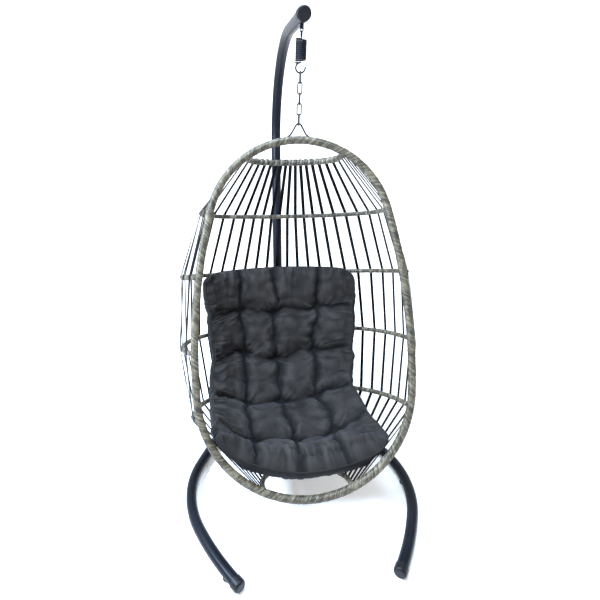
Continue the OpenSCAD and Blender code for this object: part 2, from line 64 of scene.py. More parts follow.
def make_camera():
    data = bpy.data.cameras.new("camera")
    cam = bpy.data.objects.new("camera", data)
    bpy.context.scene.collection.objects.link(cam)
    forward = Vector((-math.sin(YAW) * math.cos(PITCH), math.cos(YAW) * math.cos(PITCH), math.sin(PITCH)))
    right = Vector((math.cos(YAW), math.sin(YAW), 0.0))
    up = right.cross(forward)
    turn = Matrix.Rotation(ROLL, 3, forward)
    right, up = turn @ right, turn @ up
    cam.matrix_world = Matrix((
        (right.x, up.x, -forward.x, CAM_AT.x),
        (right.y, up.y, -forward.y, CAM_AT.y),
        (right.z, up.z, -forward.z, CAM_AT.z),
        (0, 0, 0, 1),
    ))
    data.sensor_width = SENSOR_MM
    data.lens = LENS_MM
    data.shift_x = SHIFT_X
    data.shift_y = SHIFT_Y
    data.clip_start = CLIP_START
    bpy.context.scene.camera = cam


make_camera()

# ---------------------------------------------------------------- the basket's own frame
TILT = math.radians(20.9)
RING_TOP_Z = 1.424
RING_R = 0.015
TOP_R, TOP_SWEEP = 0.355, math.radians(75.5)
FLANK_R, FLANK_SWEEP = 2.280, math.radians(18.0)
FLANK_X = (TOP_R - FLANK_R) * math.sin(TOP_SWEEP)
FLANK_S = TOP_R * (1 - math.cos(TOP_SWEEP)) + FLANK_R * math.cos(TOP_SWEEP)
LOW_ANGLE = TOP_SWEEP + FLANK_SWEEP
LOW_X = FLANK_X + FLANK_R * math.sin(LOW_ANGLE)
LOW_S = FLANK_S - FLANK_R * math.cos(LOW_ANGLE)
LOW_R = LOW_X / math.sin(LOW_ANGLE)
LOW_CENTRE = LOW_S + LOW_R * math.cos(LOW_ANGLE)
# Hoops, top to bottom: distance down the ring, half width, distance behind the ring where widest,
# depth behind the ring, lift in degrees, wrapped radius
HOOPS = [
    (0.052, 0.188, 0.110, 0.232, 6.0, 0.013),
    (0.267, 0.385, 0.188, 0.436, 4.0, 0.010),
    (0.522, 0.468, 0.173, 0.545, 1.5, 0.010),
    (0.806, 0.473, 0.140, 0.588, 1.5, 0.010),
    (1.056, 0.430, 0.080, 0.522, -2.0, 0.010),
    (1.332, 0.172, 0.060, 0.245, -4.0, 0.010),
]
HOOP_POWER = 2.3        # how square a hoop's back is; 2 is an ellipse
HOOP_START = 0.0162     # a hoop begins this far behind the ring's centre
BACK_LENGTH = 0.83      # length of a hoop's rear quarter against its half width plus its rear depth
STRAPS = 28
STRAP_WIDE = 0.015
STRAP_THICK = 0.0016
GAP = 0.0004            # between a strap and the hoops


def to_row(x, n, s):
    """A point x to the right, n behind the ring's plane and s down the ring, in the row frame."""
    y = n * math.cos(TILT) - s * math.sin(TILT)
    return Vector((x, y, RING_TOP_Z - s * math.cos(TILT) - n * math.sin(TILT)))


def row(v):
    """The same for a vector (x, n, s)."""
    return to_row(v.x, v.y, v.z)


def ring_half(s):
    """Half the ring's width at s down the ring."""
    if s < TOP_R * (1 - math.cos(TOP_SWEEP)):
        return math.sqrt(max(0.0, TOP_R ** 2 - (TOP_R - s) ** 2))
    if s < LOW_S:
        return FLANK_X + math.sqrt(FLANK_R ** 2 - (s - FLANK_S) ** 2)
    return math.sqrt(max(0.0, LOW_R ** 2 - (s - LOW_CENTRE) ** 2))


def ring_line(step=0.02):
    """The ring's centre line as points (x, 0, s) in the basket's frame, clockwise from its top."""
    arcs = [
        ((0.0, TOP_R), TOP_R, 0.0, TOP_SWEEP),
        ((FLANK_X, FLANK_S), FLANK_R, TOP_SWEEP, LOW_ANGLE),
        ((0.0, LOW_CENTRE), LOW_R, LOW_ANGLE, math.pi),
    ]
    half = []
    for (cx, cs), r, a, b in arcs:
        count = max(2, int(round(r * (b - a) / step)))
        for i in range(count):
            at = a + (b - a) * i / count
            half.append((cx + r * math.sin(at), cs - r * math.cos(at)))
    half.append((0.0, LOW_CENTRE + LOW_R))
    other = [(-x, s) for x, s in half[-2:0:-1]]
    return [Vector((x, 0.0, s)) for x, s in half + other]


def hoop_point(h, f):
    """A hoop's centre in the basket's frame (x, n, s), for f from -1 at its left end to 1 at its right."""
    s0, half_w, n_wide, depth, lift, _ = HOOPS[h]
    rear = depth - n_wide
    edge = ring_half(s0)
    front_len = math.hypot(half_w - edge, n_wide)
    share = front_len / (front_len + BACK_LENGTH * (half_w + rear))
    g = 1 - abs(f)
    if g < share:
        n = HOOP_START + (n_wide - HOOP_START) * g / share
        x = edge + (half_w - edge) * math.sin(math.pi / 2 * n / n_wide)
    else:
        a = min(math.pi / 2, math.pi / 2 * (g - share) / (1 - share))
        across = (max(0.0, math.cos(a)) / half_w) ** HOOP_POWER
        r = (across + (math.sin(a) / rear) ** HOOP_POWER) ** (-1 / HOOP_POWER)
        x, n = r * math.cos(a), n_wide + r * math.sin(a)
    return Vector((x if f >= 0 else -x, n, s0 - n * math.tan(math.radians(lift))))


def hoop_side(h, f):
    """The hoop's own direction at f, in the row frame."""
    e = 0.01
    return unit(row(hoop_point(h, f + e)) - row(hoop_point(h, f - e)))


# ---------------------------------------------------------------- mesh helpers
def unit(v):
    return v / v.length


def new_object(name, verts, faces, smooth=True):
    mesh = bpy.data.meshes.new(name)
    mesh.from_pydata([tuple(v) for v in verts], [], faces)
    mesh.update()
    if smooth:
        mesh.polygons.foreach_set("use_smooth", [True] * len(mesh.polygons))
    obj = bpy.data.objects.new(name, mesh)
    bpy.context.scene.collection.objects.link(obj)
    return obj


def point_values(obj, name, values):
    """A float for each vertex, for the materials to read."""
    attribute = obj.data.attributes.new(name, "FLOAT", "POINT")
    attribute.data.foreach_set("value", values.astype(np.float32).ravel())


def resample(points, step, closed=False):
    """Evenly spaced points on a smooth curve through the given ones, and the curve's length."""
    pts = [Vector(p) for p in points]
    n = len(pts)
    splits = 8
    fine = []
    for i in range(n if closed else n - 1):
        if closed:
            p0, p1, p2, p3 = pts[i - 1], pts[i], pts[(i + 1) % n], pts[(i + 2) % n]
        else:
            p0, p1, p2, p3 = pts[max(i - 1, 0)], pts[i], pts[i + 1], pts[min(i + 2, n - 1)]
        for k in range(splits):
            t = k / splits
            fine.append(0.5 * ((2 * p1) + (p2 - p0) * t + (2 * p0 - 5 * p1 + 4 * p2 - p3) * t * t
                               + (3 * p1 - p0 - 3 * p2 + p3) * t ** 3))
    fine.append(fine[0].copy() if closed else pts[-1].copy())
    co = np.array([tuple(p) for p in fine])
    seg = np.linalg.norm(np.diff(co, axis=0), axis=1)
    at = np.concatenate([[0], np.cumsum(seg)])
    count = max(2, int(round(at[-1] / step)))
    want = np.linspace(0, at[-1], count + 1)
    if closed:
        want = want[:-1]
    return np.stack([np.interp(want, at, co[:, k]) for k in range(3)], axis=1), at[-1]


def cross_frames(co, closed, normal):
    """Two directions across the curve at each point, kept steady by one normal or one for each point."""
    if closed:
        t = np.roll(co, -1, axis=0) - np.roll(co, 1, axis=0)
    else:
        t = np.gradient(co, axis=0)
    t /= np.linalg.norm(t, axis=1, keepdims=True)
    b = np.cross(t, np.broadcast_to(np.asarray(normal, float), t.shape))
    b /= np.linalg.norm(b, axis=1, keepdims=True)
    return b, np.cross(b, t)


def tube_mesh(name, co, radius, sides, closed, normal):
    """Tube along the points; radius is a number, or an array of stations by sides."""
    b, c = cross_frames(co, closed, normal)
    n = len(co)
    ang = np.arange(sides) * 2 * math.pi / sides
    rad = np.broadcast_to(np.asarray(radius, float), (n, sides))
    around = np.cos(ang)[None, :, None] * b[:, None, :] + np.sin(ang)[None, :, None] * c[:, None, :]
    verts = (co[:, None, :] + rad[:, :, None] * around).reshape(-1, 3)
    faces = []
    for i in range(n if closed else n - 1):
        j = (i + 1) % n
        for k in range(sides):
            m = (k + 1) % sides
            faces.append((i * sides + k, i * sides + m, j * sides + m, j * sides + k))
    if not closed:
        faces.append(tuple(range(sides - 1, -1, -1)))
        faces.append(tuple((n - 1) * sides + k for k in range(sides)))
    return new_object(name, verts, faces)


def wound_tube(name, points, core, depth, strands, lead, sides, per_strand, closed, normal, seed):
    """Flat cane wound round a core: a ridge for each strand, with small differences between turns."""
    co, length = resample(points, lead / strands / per_strand, closed)
    if closed:
        lead = length / round(length / lead)
    n = len(co)
    s = np.arange(n) * (length / n if closed else length / (n - 1))
    phi = np.arange(sides) / sides
    turns = (s[:, None] / lead - phi[None, :]) * strands
    index = np.floor(turns).astype(int)
    u = turns - index
    drawn = 4096
    table = np.random.default_rng(seed).random((drawn, 3))
    key = np.mod(index, int(round(length / lead)) * strands) if closed else np.mod(index, 1 << 20)
    thick, lean, tone = (table[key % drawn, k] for k in range(3))
    skew = 0.5 + 0.16 * (lean - 0.5)
    x = np.where(u < skew, u / skew, (1 - u) / (1 - skew))
    ridge = np.clip(x * 3.2, 0, 1) ** 0.55 * (0.8 + 0.2 * np.sin(np.pi * u))
    rad = core - depth + depth * (0.75 + 0.5 * thick) * ridge
    obj = tube_mesh(name, co, rad, sides, closed, normal)
    point_values(obj, "tone", tone)
    # Painted shade: how deep a point sits in the groove between strands, for the material to darken.
    point_values(obj, "painted_groove_shade", 1 - np.clip(x * 2.6, 0, 1))
    return obj


# ---------------------------------------------------------------- materials
def material(name):
    mat = bpy.data.materials.new(name)
    mat.use_nodes = True
    nt = mat.node_tree
    return mat, nt, nt.nodes["Principled BSDF"]


def node(nt, kind, **values):
    """New node; a value goes to the input of that name, or else to the property."""
    nd = nt.nodes.new(kind)
    for k, v in values.items():
        if k in nd.inputs:
            nd.inputs[k].default_value = v
        else:
            setattr(nd, k, v)
    return nd


def noise_at(nt, tex, **values):
    """Noise in the object's own metres."""
    nd = node(nt, "ShaderNodeTexNoise", **values)
    nt.links.new(tex.outputs["Object"], nd.inputs["Vector"])
    return nd.outputs["Fac"]


def ramp(nt, fac, stops):
    nd = nt.nodes.new("ShaderNodeValToRGB")
    cr = nd.color_ramp
    while len(cr.elements) < len(stops):
        cr.elements.new(0.5)
    for e, (p, c) in zip(cr.elements, stops):
        e.position = p
        e.color = (*c, 1.0)
    nt.links.new(fac, nd.inputs["Fac"])
    return nd.outputs["Color"]


def scaled(nt, value, factor, plus=None):
    """value * factor, plus another value if one is given."""
    nd = node(nt, "ShaderNodeMath", operation="MULTIPLY_ADD" if plus else "MULTIPLY")
    nt.links.new(value, nd.inputs[0])
    nd.inputs[1].default_value = factor
    if plus:
        nt.links.new(plus, nd.inputs[2])
    return nd.outputs[0]


def tinted(nt, fac, colour, other):
    """The colour, going over to the other one as fac goes to 1."""
    nd = node(nt, "ShaderNodeMix", data_type="RGBA")
    nt.links.new(fac, nd.inputs["Factor"])
    nt.links.new(colour, nd.inputs["A"])
    nd.inputs["B"].default_value = (*other, 1)
    return nd.outputs["Result"]


def rough_between(nt, bsdf, fac, low, high):
    nd = node(nt, "ShaderNodeMapRange")
    nd.inputs["To Min"].default_value = low
    nd.inputs["To Max"].default_value = high
    nt.links.new(fac, nd.inputs["Value"])
    nt.links.new(nd.outputs["Result"], bsdf.inputs["Roughness"])


def bumped(nt, height, strength, distance, under=None):
    nd = node(nt, "ShaderNodeBump", Strength=strength, Distance=distance)
    nt.links.new(height, nd.inputs["Height"])
    if under:
        nt.links.new(under, nd.inputs["Normal"])
    return nd.outputs["Normal"]


def powder_coat(name, low, high, rough):
    """Satin powder coat: fine orange peel, slight colour drift, duller where dust sits."""
    mat, nt, bsdf = material(name)
    link = nt.links.new
    tex = node(nt, "ShaderNodeTexCoord")
    fine = noise_at(nt, tex, Scale=900.0, Detail=3.0)
    broad = noise_at(nt, tex, Scale=6.0, Detail=4.0)
    link(ramp(nt, broad, [(0.3, low), (0.7, high)]), bsdf.inputs["Base Color"])
    rough_between(nt, bsdf, broad, rough - 0.05, rough + 0.10)
    link(bumped(nt, fine, 0.12, 0.0006), bsdf.inputs["Normal"])
    bsdf.inputs["Specular IOR Level"].default_value = 0.16
    return mat


def cane_material(name, dark, mid, light):
    """Flat cane: each strand has its own tone, with blotches and fibres, and painted shade in the grooves
    between strands.
    """
    mat, nt, bsdf = material(name)
    link = nt.links.new
    tex = node(nt, "ShaderNodeTexCoord")
    tone = node(nt, "ShaderNodeAttribute", attribute_name="tone").outputs["Fac"]
    painted_groove_shade = node(nt, "ShaderNodeAttribute", attribute_name="painted_groove_shade").outputs["Fac"]
    blotch = noise_at(nt, tex, Scale=55.0, Detail=5.0, Roughness=0.7)
    fibre = noise_at(nt, tex, Scale=420.0, Detail=3.0)
    level = scaled(nt, scaled(nt, fibre, 0.25, scaled(nt, tone, 0.32, blotch)), 0.75)
    colour = ramp(nt, level, [(0.47, dark), (0.60, mid), (0.74, light)])
    # Painted shade: the colour goes near black in the grooves between strands.
    link(tinted(nt, painted_groove_shade, colour, [c * 0.35 for c in dark]), bsdf.inputs["Base Color"])
    bsdf.inputs["Roughness"].default_value = 0.48
    link(bumped(nt, fibre, 0.35, 0.0006), bsdf.inputs["Normal"])
    return mat


def cloth_material(name, low, high):
    """Plain woven outdoor cloth: crossing threads in the bump, uneven yarn colour, painted shade in the
    creases, a painted highlight on the crests, and a soft sheen.
    """
    mat, nt, bsdf = material(name)
    link = nt.links.new
    threads = 150.0
    uv = node(nt, "ShaderNodeUVMap", uv_map="cloth")
    tex = node(nt, "ShaderNodeTexCoord")
    scale = node(nt, "ShaderNodeMapping")
    scale.inputs["Scale"].default_value = (threads, threads, threads)
    link(uv.outputs["UV"], scale.inputs["Vector"])
    weave = node(nt, "ShaderNodeMath", operation="MAXIMUM")
    for k, direction in enumerate("XY"):
        wave = node(nt, "ShaderNodeTexWave", wave_type="BANDS", bands_direction=direction, Scale=1.0,
                    Distortion=0.6, Detail=1.0)
        link(scale.outputs["Vector"], wave.inputs["Vector"])
        link(wave.outputs["Fac"], weave.inputs[k])
    yarn = noise_at(nt, tex, Scale=220.0, Detail=4.0, Roughness=0.7)
    broad = noise_at(nt, tex, Scale=5.0, Detail=3.0)
    level = scaled(nt, scaled(nt, yarn, 0.5, broad), 0.66)
    colour = ramp(nt, level, [(0.3, low), (0.7, high)])
    # Painted shade: the cloth's colour goes much darker in creases, hollows, tuft pits and on the rear sheet.
    painted_crease_shade = node(nt, "ShaderNodeAttribute", attribute_name="painted_crease_shade").outputs["Fac"]
    colour = tinted(nt, painted_crease_shade, colour, [c * 0.2 for c in low])
    # Painted highlight: a lighter, bluer colour on the crests of the relief.
    painted_crest_highlight = node(nt, "ShaderNodeAttribute", attribute_name="painted_crest_highlight").outputs["Fac"]
    colour = tinted(nt, painted_crest_highlight, colour, (high[0] * 1.9, high[1] * 1.9, high[2] * 1.95))
    link(colour, bsdf.inputs["Base Color"])
    bsdf.inputs["Roughness"].default_value = 0.82
    bsdf.inputs["Specular IOR Level"].default_value = 0.2
    bsdf.inputs["Sheen Weight"].default_value = 0.10
    bsdf.inputs["Sheen Roughness"].default_value = 0.45
    bsdf.inputs["Sheen Tint"].default_value = (0.62, 0.68, 0.85, 1.0)
    woven = bumped(nt, weave.outputs[0], 0.35, 0.0008)
    link(bumped(nt, yarn, 0.25, 0.0012, woven), bsdf.inputs["Normal"])
    return mat


def moulded(name, low, high, rough, metallic=0.0, grain=260.0, specular=0.5):
    """Moulded plastic, rubber or plain metal: a slight drift of colour and gloss, and a fine grain."""
    mat, nt, bsdf = material(name)
    link = nt.links.new
    tex = node(nt, "ShaderNodeTexCoord")
    fine = noise_at(nt, tex, Scale=grain, Detail=4.0)
    broad = noise_at(nt, tex, Scale=30.0, Detail=3.0)
    link(ramp(nt, broad, [(0.3, low), (0.7, high)]), bsdf.inputs["Base Color"])
    rough_between(nt, bsdf, broad, rough - 0.06, rough + 0.08)
    bsdf.inputs["Metallic"].default_value = metallic
    bsdf.inputs["Specular IOR Level"].default_value = specular
    link(bumped(nt, fine, 0.15, 0.0005), bsdf.inputs["Normal"])
    return mat


BLACK_COAT = powder_coat("black_powder_coat", (0.0026, 0.0036, 0.0060), (0.0054, 0.0074, 0.0120), 0.33)
BLACK_PLASTIC = moulded("black_moulding", (0.004, 0.004, 0.005), (0.009, 0.009, 0.010), 0.42, specular=0.22)
RUBBER = moulded("foot_rubber", (0.012, 0.012, 0.012), (0.025, 0.025, 0.025), 0.8)
ZINC = moulded("zinc_plate", (0.42, 0.43, 0.45), (0.60, 0.61, 0.63), 0.32, metallic=1.0, grain=120.0)
CHAIN = moulded("chain_steel", (0.010, 0.010, 0.011), (0.030, 0.030, 0.031), 0.42, metallic=0.3,
                grain=300.0, specular=0.3)
STRAP = moulded("black_strap", (0.002, 0.002, 0.0025), (0.005, 0.005, 0.006), 0.34, grain=350.0,
                specular=0.06)
CANE = cane_material("greige_cane", (0.026, 0.020, 0.011), (0.088, 0.072, 0.042), (0.200, 0.172, 0.112))
HOOP_CANE = cane_material("hoop_cane", (0.020, 0.016, 0.010), (0.085, 0.074, 0.047), (0.230, 0.205, 0.145))
CLOTH = cloth_material("charcoal_cloth", (0.0094, 0.0080, 0.0069), (0.0205, 0.0180, 0.0158))


def paint(obj, mat):
    obj.data.materials.clear()
    obj.data.materials.append(mat)


def dress(name, mat):
    """Give every slot of a CAD node the material."""
    obj = NODES[name]
    if obj.data.materials:
        for i in range(len(obj.data.materials)):
            obj.data.materials[i] = mat
    else:
        obj.data.materials.append(mat)


for n in ["base_left_leg", "base_right_leg", "base_hub", "post_lower", "post_upper", "arm_lug",
          "spring_top_hook", "spring_bottom_hook", "spring_coil", "hanger", "ring_tube", "hoop_rods"]:
    dress(n, BLACK_COAT)
for n in ["leg_end_cap_left", "leg_end_cap_right", "arm_end_cap"]:
    dress(n, BLACK_PLASTIC)
dress("floor_pads", RUBBER)
for n in ["hub_bolts", "hub_nuts", "post_screw"]:
    dress(n, ZINC)
for k in range(1, 6):
    dress("chain_link_%d" % k, CHAIN)

# ---------------------------------------------------------------- ring, hoops and straps
RING_NORMAL = to_row(0, 1, 0) - to_row(0, 0, 0)
DOWN_RING = to_row(0, 0, 1) - to_row(0, 0, 0)


def make_ring():
    pts = [row(p) for p in ring_line()]
    obj = wound_tube("ring_cane", pts, RING_R, 0.0024, 12, 0.060, 56, 4, True, RING_NORMAL, 11)
    paint(obj, CANE)
    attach(obj, "basket")
    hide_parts("ring_wrap")


def make_hoops():
    """The top hoop has one wide strand with deep knots, the others two shallow ones."""
    for h, (_, _, _, _, _, r) in enumerate(HOOPS):
        pts = [row(hoop_point(h, i / 40)) for i in range(-40, 41)]
        if h == 0:
            obj = wound_tube("hoop_cane_1", pts, r, 0.0034, 1, 0.0125, 22, 10, False, DOWN_RING, 21)
        else:
            name = "hoop_cane_%d" % (h + 1)
            obj = wound_tube(name, pts, r, 0.0014, 2, 0.0135, 18, 5, False, DOWN_RING, 21 + h)
        paint(obj, HOOP_CANE)
        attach(obj, "basket")
        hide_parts("hoop_wrap_%d" % (h + 1))


make_ring()
make_hoops()


def ribbon(verts, faces, path, across, width, thick):
    """Flat strap with rounded edges along a path; across gives its width direction at each point."""
    w, t = width / 2, thick / 2
    half = [(-w, -t * 0.3), (-w + t, -t), (w - t, -t), (w, -t * 0.3)]
    profile = half + [(-a, -b) for a, b in half]
    base = len(verts)
    n = len(path)
    for i, p in enumerate(path):
        along = unit(path[min(i + 1, n - 1)] - path[max(i - 1, 0)])
        side = across[i] - along * along.dot(across[i])
        side.normalize()
        out = side.cross(along)
        verts += [p + side * a + out * b for a, b in profile]
    k = len(profile)
    for i in range(n - 1):
        here, ahead = base + i * k, base + (i + 1) * k
        for j in range(k):
            m = (j + 1) % k
            faces.append((here + j, here + m, ahead + m, ahead + j))
    faces.append(tuple(base + j for j in range(k - 1, -1, -1)))
    faces.append(tuple(base + (n - 1) * k + j for j in range(k)))


def strap_path(f):
    """Path of the strap at the fraction f of every hoop: outside all of them, each end bent over its hoop."""
    last = len(HOOPS) - 1
    turn = [math.radians(d) for d in range(60, -1, -12)]
    lead_in, lift = 0.012, 0.001
    centre = [row(hoop_point(h, f)) for h in range(last + 1)]
    side = [hoop_side(h, f) for h in range(last + 1)]
    reach = [HOOPS[h][5] + GAP + STRAP_THICK / 2 for h in range(last + 1)]
    crossing = []
    for h in range(last + 1):
        above, below = max(h - 1, 0), min(h + 1, last)
        n = unit((centre[above] - centre[below]).cross(side[h]))
        flank = unit((centre[above] - centre[above + 1]).cross(side[h]))
        crossing.append(centre[h] + n * (reach[h] / n.dot(flank)))

    def end_loop(h, beside):
        out = unit(crossing[h] - centre[h])
        away = unit(centre[h] - centre[beside])
        away = unit(away - out * away.dot(out))
        return [centre[h] + (out * math.cos(a) + away * math.sin(a)) * reach[h] for a in turn]

    path = end_loop(0, 1)
    across = [side[0]] * len(turn)
    for m in range(1, last):
        before = unit(crossing[m - 1] - crossing[m])
        after = unit(crossing[m + 1] - crossing[m])
        path.append(crossing[m] + before * lead_in)
        path.append(crossing[m] + (before + after) * lift)
        path.append(crossing[m] + after * lead_in)
        across += [side[m]] * 3
    path += end_loop(last, last - 1)[::-1]
    across += [side[last]] * len(turn)
    return path, across


def make_straps():
    verts, faces = [], []
    for j in range(STRAPS):
        path, across = strap_path((2 * j + 1) / STRAPS - 1)
        ribbon(verts, faces, path, across, STRAP_WIDE, STRAP_THICK)
    obj = new_object("back_strap_set", verts, faces, smooth=False)
    bevel = obj.modifiers.new("edge", "BEVEL")
    bevel.width = 0.0003
    bevel.segments = 1
    bevel.limit_method = "ANGLE"
    paint(obj, STRAP)
    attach(obj, "basket")
    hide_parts("back_straps")


make_straps()


# ---------------------------------------------------------------- spring and hanger
def make_spring():
    lo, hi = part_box("spring_coil")
    wire, turns, per_turn = 0.003, 11, 40
    inside_cad = 0.00005
    radius = (hi[0] - lo[0]) / 2 - wire
    top, low = hi[2] - wire, lo[2] + wire
    count = turns * per_turn
    pts = []
    for i in range(count + 1):
        a = math.pi + 2 * math.pi * i / per_turn
        pts.append((radius * math.cos(a), radius * math.sin(a), top + (low - top) * i / count))
    obj = tube_mesh("spring_wound", np.array(pts), wire - inside_cad, 14, False, (0, 0, 1))
    paint(obj, BLACK_COAT)
    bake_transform(obj)
    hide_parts("spring_coil")


def make_hanger():
    """Bent rod: a small arc at the top, two straight legs, and a wider arc out to each foot on the ring."""
    _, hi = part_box("hanger")
    r = 0.00325
    top_r, flare_r = 0.012, 0.025
    steep, flat = math.radians(60), math.radians(15)
    top = hi[2] - r
    foot = RING_TOP_Z + 0.0121
    drop = top_r * (1 - math.cos(steep)) + flare_r * (math.cos(flat) - math.cos(steep))
    leg = (top - foot - drop) / math.sin(steep)
    parts = 10
    half = []
    for i in range(1, parts + 1):
        a = steep * i / parts
        half.append((top_r * math.sin(a), top - top_r * (1 - math.cos(a))))
    ex, ez = half[-1][0] + leg * math.cos(steep), half[-1][1] - leg * math.sin(steep)
    for i in range(parts + 1):
        a = steep + (flat - steep) * i / parts
        x = ex + flare_r * (math.sin(steep) - math.sin(a))
        half.append((x, ez + flare_r * (math.cos(steep) - math.cos(a))))
    pts = [(-x, 0, z) for x, z in half[::-1]] + [(0, 0, top)] + [(x, 0, z) for x, z in half]
    obj = tube_mesh("hanger_rod", np.array(pts), r, 18, False, (0, 1, 0))
    paint(obj, BLACK_COAT)
    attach(obj, "basket")
    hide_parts("hanger")


make_spring()
make_hanger()

# ---------------------------------------------------------------- cushion
# The pad's middle line, top to front: distance behind the ring, distance down the ring, width to the left
# and to the right, half thickness, how far the left and the right edge curl inwards. The pad has slid a
# little to the left, and its left edge rides higher up the basket.
PAD = np.array([
    (0.466, 0.480, 0.346, 0.274, 0.030, 0.090, 0.060), (0.478, 0.514, 0.384, 0.316, 0.040, 0.125, 0.085),
    (0.490, 0.620, 0.378, 0.320, 0.042, 0.130, 0.100), (0.500, 0.730, 0.366, 0.312, 0.0425, 0.130, 0.105),
    (0.500, 0.845, 0.354, 0.302, 0.0425, 0.125, 0.105), (0.482, 0.950, 0.350, 0.296, 0.0425, 0.125, 0.110),
    (0.438, 1.046, 0.360, 0.270, 0.0425, 0.130, 0.115), (0.364, 1.124, 0.358, 0.266, 0.0425, 0.145, 0.120),
    (0.268, 1.190, 0.354, 0.282, 0.0425, 0.160, 0.118), (0.160, 1.238, 0.350, 0.306, 0.046, 0.172, 0.112),
    (0.080, 1.264, 0.340, 0.316, 0.050, 0.178, 0.112), (0.026, 1.276, 0.322, 0.302, 0.048, 0.178, 0.118),
])
# Tufts as (share across, share down) of the pad
TUFTS = [
    [(-0.43, 0.190), (-0.11, 0.214), (0.33, 0.185)], [(-0.41, 0.400), (-0.10, 0.422), (0.30, 0.391)],
    [(-0.41, 0.660), (-0.09, 0.634), (0.31, 0.626)], [(-0.39, 0.868), (-0.04, 0.846), (0.36, 0.818)],
]
COLS, ROWS = 170, 290       # spaces of the cloth's grid, across and down
WELT_R = 0.0026


def pad_rows(v):
    """The pad's middle line and its sizes at the shares v of its length, smoothed between the rows."""
    at = np.concatenate([[0], np.cumsum(np.linalg.norm(np.diff(PAD[:, :2], axis=0), axis=1))])
    total = at[-1]
    past, blur = 0.12, 37
    fine = np.linspace(-past * total, (1 + past) * total, 1241)
    window = np.hanning(2 * blur + 1)
    window /= window.sum()
    cols = []
    for k in range(PAD.shape[1]):
        c = np.interp(fine, at, PAD[:, k])
        if k < 2:
            c = np.where(fine < 0, PAD[0, k] + fine * (PAD[1, k] - PAD[0, k]) / at[1], c)
            tail = (PAD[-1, k] - PAD[-2, k]) / (total - at[-2])
            c = np.where(fine > total, PAD[-1, k] + (fine - total) * tail, c)
            c = np.pad(c, blur, mode="reflect", reflect_type="odd")
        else:
            c = np.pad(c, blur, mode="edge")
        cols.append(np.interp(v * total, fine, np.convolve(c, window, mode="valid")))
    return np.stack(cols, axis=-1)


def pad_middle(u, v):
    """Middle surface of the pad in the basket's frame (x, n, s) for arrays u (-1 to 1) and v (0 to 1)."""
    rows = pad_rows(v)
    e = 1e-3
    along = pad_rows(v + e)[..., :2] - pad_rows(v - e)[..., :2]
    along /= np.linalg.norm(along, axis=-1, keepdims=True)
    inward = np.stack([-along[..., 1], along[..., 0]], axis=-1)
    curl = np.where(u < 0, rows[..., 5], rows[..., 6]) * np.abs(u) ** 1.6
    x = np.where(u < 0, rows[..., 2], rows[..., 3]) * np.sin(math.pi / 2 * u)
    n = rows[..., 0] + curl * inward[..., 0]
    s = rows[..., 1] + curl * inward[..., 1]
    return np.stack([x, n, s], axis=-1), rows[..., 4]


def pad_normal(u, v):
    e = 2e-3
    du = pad_middle(np.clip(u + e, -1, 1), v)[0] - pad_middle(np.clip(u - e, -1, 1), v)[0]
    dv = pad_middle(u, v + e)[0] - pad_middle(u, v - e)[0]
    nrm = np.cross(du, dv)
    nrm /= np.linalg.norm(nrm, axis=-1, keepdims=True)
    return nrm


def ease_ends(a, m):
    """Nearly even spacing that closes up towards -1 and 1."""
    c = (m + 1) / m
    return c * a - (c - 1) * np.sign(a) * np.abs(a) ** (m + 1)


def noise_field(x, y, scale, seed):
    points = zip(x.ravel(), y.ravel())
    flat = [noise.noise(Vector((float(a) * scale, float(b) * scale, seed))) for a, b in points]
    return np.array(flat).reshape(x.shape)


def ridges(x, y, scale, seed):
    """Noise folded at zero, which gives rounded ridges with sharp valleys between them."""
    return np.abs(noise_field(x, y, scale, seed))


def walked(mid, axis):
    """Distance over the pad's middle surface along one axis of the grid, in metres."""
    step = np.linalg.norm(np.diff(mid, axis=axis), axis=2)
    start = np.zeros((len(step), 1) if axis else (1, step.shape[1]))
    return np.concatenate([start, np.cumsum(step, axis=axis)], axis=axis)


def surface_of(*names):
    """Search tree over the CAD surface of the named nodes."""
    verts, polys = [], []
    for name in names:
        mesh = NODES[name].data
        polys += [[len(verts) + k for k in p.vertices] for p in mesh.polygons]
        verts += [v.co.copy() for v in mesh.vertices]
    return BVHTree.FromPolygons(verts, polys)


def soften(h, k):
    """Mean over a square of 2k + 1 grid points, done twice."""
    for _ in range(2):
        for axis in (0, 1):
            pad = [(k + 1, k) if a == axis else (0, 0) for a in (0, 1)]
            total = np.cumsum(np.pad(h, pad, mode="edge"), axis=axis)
            n, wide = total.shape[axis], 2 * k + 1
            h = (np.take(total, range(wide, n), axis) - np.take(total, range(n - wide), axis)) / wide
    return h


def seg_distance(x, y, a, b):
    """Distance to the line from a to b, and the share of it where it is nearest."""
    ax, ay = a
    bx, by = b
    dx, dy = bx - ax, by - ay
    t = np.clip(((x - ax) * dx + (y - ay) * dy) / (dx * dx + dy * dy), 0, 1)
    return np.hypot(x - ax - t * dx, y - ay - t * dy), t


def tuft_spots(U, V, X, Y):
    """The tufts in cloth coordinates, row by row."""
    spots = []
    for line in TUFTS:
        spots.append([])
        for tu, tv in line:
            i = int(np.argmin(np.abs(V[:, 0] - tv)))
            j = int(np.argmin(np.abs(U[i] - tu)))
            spots[-1].append((X[i, j], Y[i, j]))
    return spots


def crease_lines(tufts, length):
    """Creases between the tufts and on to the edges, as (from, to, strength, share left at the end)."""
    creases = []
    for line in tufts:
        creases += [(a, b, 1.0, 0.0) for a, b in zip(line, line[1:])]
        for (tx, ty), dx, dy in ((line[0], -0.5, 0.02), (line[-1], 0.5, -0.02)):
            creases.append(((tx, ty), (tx + dx, ty + dy), 0.75, 0.55))
    for column in zip(*tufts):
        creases += [(a, b, 0.55, 0.0) for a, b in zip(column, column[1:])]
        top, low = column[0], column[-1]
        creases.append((top, (top[0] * 1.02, 0.0), 0.40, 0.2))
        creases.append((low, (low[0] * 1.03, length), 0.40, 0.4))
    return creases


